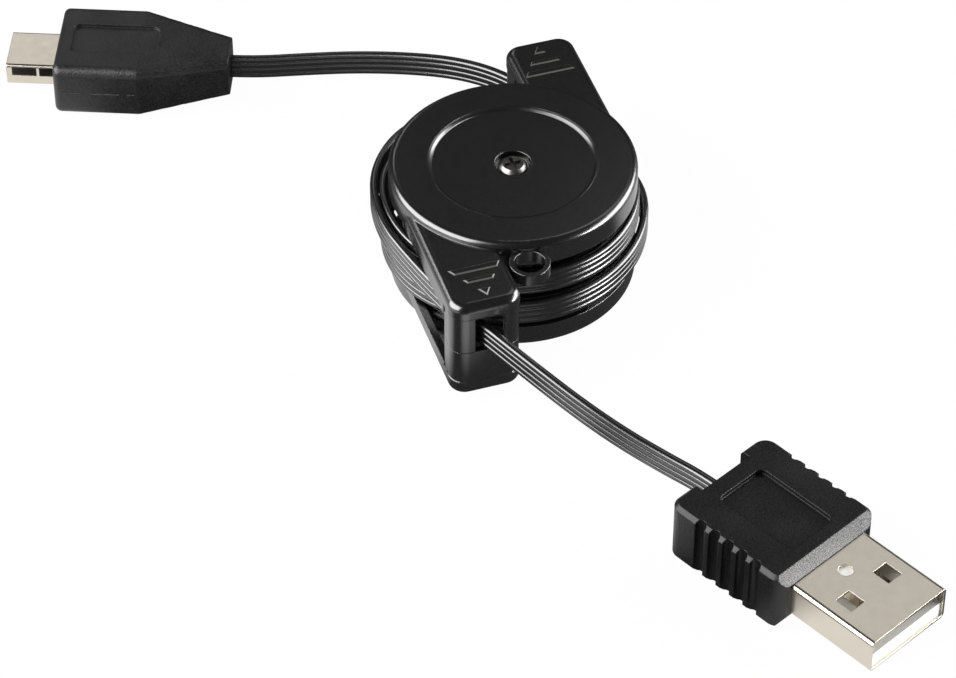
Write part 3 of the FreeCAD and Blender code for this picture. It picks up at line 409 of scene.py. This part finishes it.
def ribbed_cord_tree():
    """Sweep the ribbed section of a flat cord, standing on edge, along a curve."""
    made = Nodes("ribbed_cord")
    made.socket("Geometry", "NodeSocketGeometry", out=True)
    made.socket("Path", "NodeSocketGeometry")
    made.socket("Width", "NodeSocketFloat", RIBBON_WIDTH * MM)
    made.socket("Crest", "NodeSocketFloat", RIBBON_CREST * MM)
    made.socket("Valley", "NodeSocketFloat", RIBBON_VALLEY * MM)
    made.socket("Ribs", "NodeSocketInt", RIBBON_LOBES)
    made.socket("Steps", "NodeSocketInt", LOBE_STEPS)
    made.socket("Jacket", "NodeSocketMaterial")
    entry = made.add("NodeGroupInput").outputs
    leave = made.add("NodeGroupOutput").inputs

    around = made.sum("MULTIPLY", made.sum("MULTIPLY", entry["Ribs"], entry["Steps"]), 2.0)
    ring = made.add("GeometryNodeCurvePrimitiveCircle")
    made.feed(ring.inputs["Resolution"], around)
    share = made.sum("DIVIDE", made.add("GeometryNodeInputIndex").outputs["Index"], around)
    across = made.sum("SUBTRACT", made.sum("MULTIPLY", share, 2.0), 1.0)
    height = made.sum("SUBTRACT", 1.0, made.sum("ABSOLUTE", across))
    rib = made.sum("MULTIPLY", height, entry["Ribs"])
    within = made.sum("SUBTRACT", made.sum("MULTIPLY", made.sum("FRACT", rib), 2.0), 1.0)
    square = made.sum("SUBTRACT", 1.0, made.sum("MULTIPLY", within, within))
    rise = made.sum("SQRT", made.sum("MAXIMUM", square, 0.0))
    from_end = made.sum("MINIMUM", rib, made.sum("SUBTRACT", entry["Ribs"], rib))
    inner = made.sum("GREATER_THAN", from_end, 0.5)
    valley = made.sum("MULTIPLY", inner, entry["Valley"])
    bulge = made.sum("MULTIPLY", made.sum("SUBTRACT", entry["Crest"], valley), rise)
    side = made.sum("MULTIPLY", made.sum("ADD", valley, bulge), made.sum("SIGN", across))
    up = made.sum("MULTIPLY", made.sum("SUBTRACT", height, 0.5), entry["Width"])
    spot = made.add("ShaderNodeCombineXYZ")
    made.feed(spot.inputs["X"], side)
    made.feed(spot.inputs["Y"], up)
    section = made.add("GeometryNodeSetPosition")
    made.feed(section.inputs["Geometry"], ring.outputs["Curve"])
    made.feed(section.inputs["Position"], spot.outputs["Vector"])

    level = made.add("GeometryNodeSetCurveNormal", mode="Z_UP")
    made.feed(level.inputs["Curve"], entry["Path"])
    swept = made.add("GeometryNodeCurveToMesh")
    made.feed(swept.inputs["Curve"], level.outputs["Curve"])
    made.feed(swept.inputs["Profile Curve"], section.outputs["Geometry"])
    made.feed(swept.inputs["Fill Caps"], True)
    smooth = made.add("GeometryNodeSetShadeSmooth")
    made.feed(smooth.inputs["Geometry"], swept.outputs["Mesh"])
    whole = made.add("GeometryNodeRealizeInstances")
    made.feed(whole.inputs["Geometry"], smooth.outputs["Geometry"])
    coat = made.add("GeometryNodeSetMaterial")
    made.feed(coat.inputs["Geometry"], whole.outputs["Geometry"])
    made.feed(coat.inputs["Material"], entry["Jacket"])
    made.feed(leave["Geometry"], coat.outputs["Geometry"])
    return made


def curve_through(name, points, kind):
    """A curve object with no thickness, along points in millimetres."""
    curve = bpy.data.curves.new(name, "CURVE")
    curve.dimensions = "3D"
    curve.resolution_u = ROUTE_STEPS
    spline = curve.splines.new(kind)
    spline.points.add(len(points) - 1)
    for point, place in zip(spline.points, points):
        point.co = (*(value * MM for value in place), 1)
    if kind == "NURBS":
        spline.order_u = ROUTE_ORDER
        spline.use_endpoint_u = True
    holder = bpy.data.objects.new(name, curve)
    bpy.context.scene.collection.objects.link(holder)
    return holder


def ribbed(holder, cord_tree, jacket):
    """The swept cord as a plain mesh, and the points that it follows."""
    bare = bpy.data.meshes.new_from_object(holder)
    path = [vertex.co.copy() for vertex in bare.vertices]
    bpy.data.meshes.remove(bare)
    sweep = holder.modifiers.new("ribbed_cord", "NODES")
    sweep.node_group = cord_tree.tree
    sweep[cord_tree.sockets["Jacket"]] = jacket
    ready = holder.evaluated_get(bpy.context.evaluated_depsgraph_get())
    mesh = bpy.data.meshes.new_from_object(ready)
    bpy.data.objects.remove(holder)
    return mesh, path


def free_cord(name, cord_tree, jacket):
    """A cord's loose turn on the reel and its free stretch to the plug."""
    facts = CORDS[name]
    turn = []
    for index, radius in enumerate(facts["radii"]):
        angle = math.radians(facts["first"] + LOOSE_STEP * index)
        turn.append((radius * math.cos(angle), radius * math.sin(angle), facts["level"]))
    mesh, path = ribbed(curve_through(name + "_route", turn + facts["route"], "NURBS"), cord_tree, jacket)
    piece = new_piece(name + "_ribbon", mesh, jacket, "housing")
    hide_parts(name)


def wound_cord(name, cord_tree, jacket):
    """The turns on the drum, one steady spiral."""
    level, end = WOUND_CORDS[name]
    steps = WOUND_STEPS * WOUND_COUNT
    spiral = []
    for step in range(steps + 1):
        radius = WOUND_FIRST + (WOUND_LAST - WOUND_FIRST) * step / steps
        angle = math.radians(end) + 2 * math.pi * WOUND_COUNT * step / steps
        spiral.append((radius * math.cos(angle), radius * math.sin(angle), level))
    mesh, _ = ribbed(curve_through(name + "_path", spiral, "POLY"), cord_tree, jacket)
    piece = new_piece(name + "_turns", mesh, jacket, "reel_spool")
    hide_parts(name)


# Small pieces on the reel and the plugs

def housing_piece(name, shape, material):
    """Turn a finished shape into a piece that stays with the housing."""
    mesh = bpy.data.meshes.new(name)
    shape.to_mesh(mesh)
    shape.free()
    new_piece(name, mesh, material, "housing")


def join_rings(shape, low, high):
    """The faces between two rings of corners."""
    for index in range(len(low)):
        after = (index + 1) % len(low)
        shape.faces.new((low[index], low[after], high[after], high[index]))


def set_down(shape, place, yaw):
    """Turn a plug's own millimetres, tip along +X, into the frame's metres."""
    turn = Matrix.Rotation(math.radians(yaw), 3, "Z")
    bmesh.ops.rotate(shape, cent=(0, 0, 0), matrix=turn, verts=shape.verts)
    bmesh.ops.translate(shape, vec=place, verts=shape.verts)
    bmesh.ops.scale(shape, vec=(MM, MM, MM), verts=shape.verts)


def mark_half(y):
    """Half the width of the pull mark's triangle, so far out along the arm."""
    return MARK_HALF * (MARK_TIP - y) / (MARK_TIP - MARK_BASE)


def mark_outline(start, end, inset):
    """The corners of one slice, drawn in by an inset on every side, and a little more at the tip."""
    start += inset
    end = min(end - inset, MARK_TIP - inset * TIP_INSET_SHARE)
    near = max(mark_half(start) - inset, 0.0)
    far = max(mark_half(end) - inset, 0.0)
    return [(MARK_MIDDLE - near, start), (MARK_MIDDLE + near, start),
            (MARK_MIDDLE + far, end), (MARK_MIDDLE - far, end)]


def pull_marks(materials):
    """Low raised slices on each arm, with sloped sides that catch the light and carry a painted highlight.
    """
    for name, turn in (("pull_mark_front", -1), ("pull_mark_rear", 1)):
        shape = bmesh.new()
        for start, end in MARK_SLICES:
            rings = []
            for inset, height in ((0.0, -MARK_RISE), (0.0, 0.0), (MARK_SLOPE, MARK_RISE)):
                level = (ARM_FACE + height) * MM
                rings.append([shape.verts.new((x * turn * MM, y * turn * MM, level))
                              for x, y in mark_outline(start, end, inset)])
            for low, high in zip(rings, rings[1:]):
                join_rings(shape, low, high)
            shape.faces.new(rings[-1])
            shape.faces.new(list(reversed(rings[0])))
        bmesh.ops.remove_doubles(shape, verts=shape.verts, dist=WELD * MM)
        bmesh.ops.recalc_face_normals(shape, faces=shape.faces)
        housing_piece(name, shape, materials["mark"])


def recess_bevel(materials):
    """The rounded slope between the top disc's face and its round recess."""
    shape = bmesh.new()
    rings = []
    section = [(RECESS_RADIUS, RECESS_FLOOR - BEVEL_SINK)]
    for step in range(BEVEL_STEPS + 1):
        share = step / BEVEL_STEPS
        fall = share * share * (3 - 2 * share)
        section.append((RECESS_RADIUS - BEVEL_RUN * share, DISC_FACE - (DISC_FACE - RECESS_FLOOR) * fall))
    section.append((RECESS_RADIUS - BEVEL_RUN, RECESS_FLOOR - BEVEL_SINK))
    for step in range(BEVEL_AROUND):
        angle = 2 * math.pi * step / BEVEL_AROUND
        rings.append([shape.verts.new((radius * math.cos(angle) * MM, radius * math.sin(angle) * MM, z * MM))
                      for radius, z in section])
    for ring, after in zip(rings, rings[1:] + rings[:1]):
        for index in range(len(section)):
            other = (index + 1) % len(section)
            face = shape.faces.new((ring[index], after[index], after[other], ring[other]))
            face.smooth = 1 <= index <= BEVEL_STEPS
    bmesh.ops.recalc_face_normals(shape, faces=shape.faces)
    housing_piece("recess_bevel", shape, materials["housing"])


def plug_block(materials):
    """The white moulding that fills the back of the large plug's shell, seen through its round hole."""
    shape = bmesh.new()
    bmesh.ops.create_cube(shape, size=1.0)
    size = Vector((BLOCK_FRONT - BLOCK_BACK, BLOCK_HALF * 2, BLOCK_TOP - BLOCK_LOW))
    middle = Vector(((BLOCK_FRONT + BLOCK_BACK) / 2, 0, (BLOCK_TOP + BLOCK_LOW) / 2))
    bmesh.ops.scale(shape, vec=size, verts=shape.verts)
    bmesh.ops.bevel(shape, geom=shape.edges[:], offset=BLOCK_BEVEL, segments=2, profile=0.5, affect="EDGES")
    bmesh.ops.translate(shape, vec=middle, verts=shape.verts)
    set_down(shape, LARGE_PLACE, LARGE_YAW)
    housing_piece("large_plug_block", shape, materials["white"])


def flash_lines(materials):
    """Broken ridges at mid height on both sides of the small plug's grip, where the mould halves met."""
    shape = bmesh.new()
    section = [(FLASH_SINK, FLASH_HALF), (FLASH_RISE, 0), (FLASH_SINK, -FLASH_HALF)]
    for side in (1, -1):
        for run in FLASH_RUNS:
            front, back = [[shape.verts.new((-along, side * (SMALL_HALF + out), FLASH_LEVEL + up))
                            for out, up in section] for along in run]
            join_rings(shape, front, back)
            shape.faces.new(front)
            shape.faces.new(list(reversed(back)))
    bmesh.ops.recalc_face_normals(shape, faces=shape.faces)
    set_down(shape, SMALL_PLACE, SMALL_YAW)
    housing_piece("small_plug_flash", shape, materials["flash"])


# Stage

def softbox(name, place, target, width, height, brightness, roll=0):
    """A rectangular lamp of the given surface brightness, where 1 looks white."""
    lamp = bpy.data.lights.new(name, "AREA")
    lamp.shape = "RECTANGLE"
    lamp.size = width
    lamp.size_y = height
    lamp.energy = brightness * math.pi * width * height
    holder = bpy.data.objects.new(name, lamp)
    bpy.context.scene.collection.objects.link(holder)
    holder.location = place
    aim = (Vector(target) - Vector(place)).to_track_quat("-Z", "Y")
    holder.rotation_euler = (aim @ Quaternion((0, 0, 1), math.radians(roll))).to_euler()


def direct_look(tree, camera, mirror):
    """How much of plain white a ray sees: from the camera, or in a mirror or through glass."""
    paths = tree.nodes.new("ShaderNodeLightPath").outputs
    looks = {"Is Camera Ray": camera, "Is Glossy Ray": mirror, "Is Transmission Ray": mirror}
    return largest(tree, [calculate(tree, "MULTIPLY", paths[name], share) for name, share in looks.items()])


def white_patches(tree):
    """How white a mirror sees the floor: nearly white in the patches, and dark elsewhere."""
    place = tree.nodes.new("ShaderNodeTexCoord")
    shares = []
    for x, y, radius in WHITE_PATCHES:
        gap = tree.nodes.new("ShaderNodeVectorMath")
        gap.operation = "DISTANCE"
        gap.inputs[1].default_value = (x * MM, y * MM, 0)
        tree.links.new(place.outputs["Object"], gap.inputs[0])
        shares.append(spread(tree, gap.outputs["Value"], PATCH_IN_MIRROR, FLOOR_IN_MIRROR,
                             radius * MM, (radius + PATCH_FADE) * MM))
    return largest(tree, shares)


def make_world():
    """A sky that is white to the camera and otherwise gives a faint even light."""
    world = bpy.data.worlds.new("sweep")
    bpy.context.scene.world = world
    world.use_nodes = True
    tree = world.node_tree
    tree.nodes.clear()
    out = tree.nodes.new("ShaderNodeOutputWorld")
    dim = tree.nodes.new("ShaderNodeBackground")
    dim.inputs["Color"].default_value = WHITE
    dim.inputs["Strength"].default_value = SKY_GLOW
    white = tree.nodes.new("ShaderNodeBackground")
    white.inputs["Color"].default_value = WHITE
    mix = tree.nodes.new("ShaderNodeMixShader")
    tree.links.new(direct_look(tree, camera=1.0, mirror=0.0), mix.inputs["Fac"])
    tree.links.new(dim.outputs["Background"], mix.inputs[1])
    tree.links.new(white.outputs["Background"], mix.inputs[2])
    tree.links.new(mix.outputs["Shader"], out.inputs["Surface"])


def make_floor():
    """A flat floor that looks white with a faint shadow, and mostly dark where plastic or metal mirrors it.
    """
    bpy.ops.mesh.primitive_plane_add(size=FLOOR_SIZE, location=(0, 0, FLOOR_LEVEL))
    floor = bpy.context.object
    floor.name = "floor"
    material = bpy.data.materials.new("floor_white")
    material.use_nodes = True
    tree = material.node_tree
    tree.nodes.clear()
    out = tree.nodes.new("ShaderNodeOutputMaterial")
    matte = tree.nodes.new("ShaderNodeBsdfDiffuse")
    matte.inputs["Color"].default_value = FLOOR_GREY
    glow = tree.nodes.new("ShaderNodeEmission")
    tree.links.new(direct_look(tree, camera=1.0, mirror=white_patches(tree)), glow.inputs["Strength"])
    mix = tree.nodes.new("ShaderNodeMixShader")
    tree.links.new(direct_look(tree, camera=FLOOR_WHITENESS, mirror=1.0), mix.inputs["Fac"])
    tree.links.new(matte.outputs["BSDF"], mix.inputs[1])
    tree.links.new(glow.outputs["Emission"], mix.inputs[2])
    tree.links.new(mix.outputs["Shader"], out.inputs["Surface"])
    floor.data.materials.append(material)


def make_lamps():
    """Long side boxes for the rims, a low one for the large grip, and two above for the plugs' metal."""
    softbox("left_box", place=(-0.36, 0.022, 0.20), target=REEL_MIDDLE,
            width=0.60, height=0.40, brightness=6, roll=20)
    softbox("right_box", place=(0.40, -0.05, 0.14), target=REEL_MIDDLE,
            width=0.46, height=0.28, brightness=7.5, roll=20)
    softbox("front_box", place=(0.25, -0.21, 0.03), target=(0.019, -0.064, 0.006),
            width=0.12, height=0.06, brightness=24)
    softbox("large_plug_box", place=(0.142, 0.150, 0.29), target=(0.018, -0.068, 0.006),
            width=0.14, height=0.12, brightness=0.74)
    softbox("small_plug_box", place=(0.0, 0.42, 0.29), target=(-0.046, 0.051, 0.005),
            width=0.13, height=0.12, brightness=1.0)


def make_camera():
    """A long lens that looks down at the cable from its front."""
    lens = bpy.data.cameras.new("camera")
    lens.sensor_width = SENSOR
    lens.lens = SENSOR * FOCAL_PIXELS / IMAGE_WIDTH
    lens.clip_start = CLIP_NEAR
    lens.clip_end = CLIP_FAR
    holder = bpy.data.objects.new("camera", lens)
    bpy.context.scene.collection.objects.link(holder)
    holder.location = CAMERA_PLACE
    holder.rotation_euler = (math.radians(90 - CAMERA_DOWN), 0, math.radians(CAMERA_TURN))
    bpy.context.scene.camera = holder


def main():
    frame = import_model()
    bpy.context.scene.view_settings.view_transform = "Standard"
    materials = make_materials()
    nodes = frame["nodes"]
    for name, node in nodes.items():
        dress(node, materials[node_finish(name)])
    make_camera()
    cord_tree = ribbed_cord_tree()
    for name, facts in CORDS.items():
        free_cord(name, cord_tree, materials["jacket"])
    for name in WOUND_CORDS:
        wound_cord(name, cord_tree, materials["jacket"])
    pull_marks(materials)
    recess_bevel(materials)
    plug_block(materials)
    flash_lines(materials)
    make_world()
    make_floor()
    make_lamps()


main()
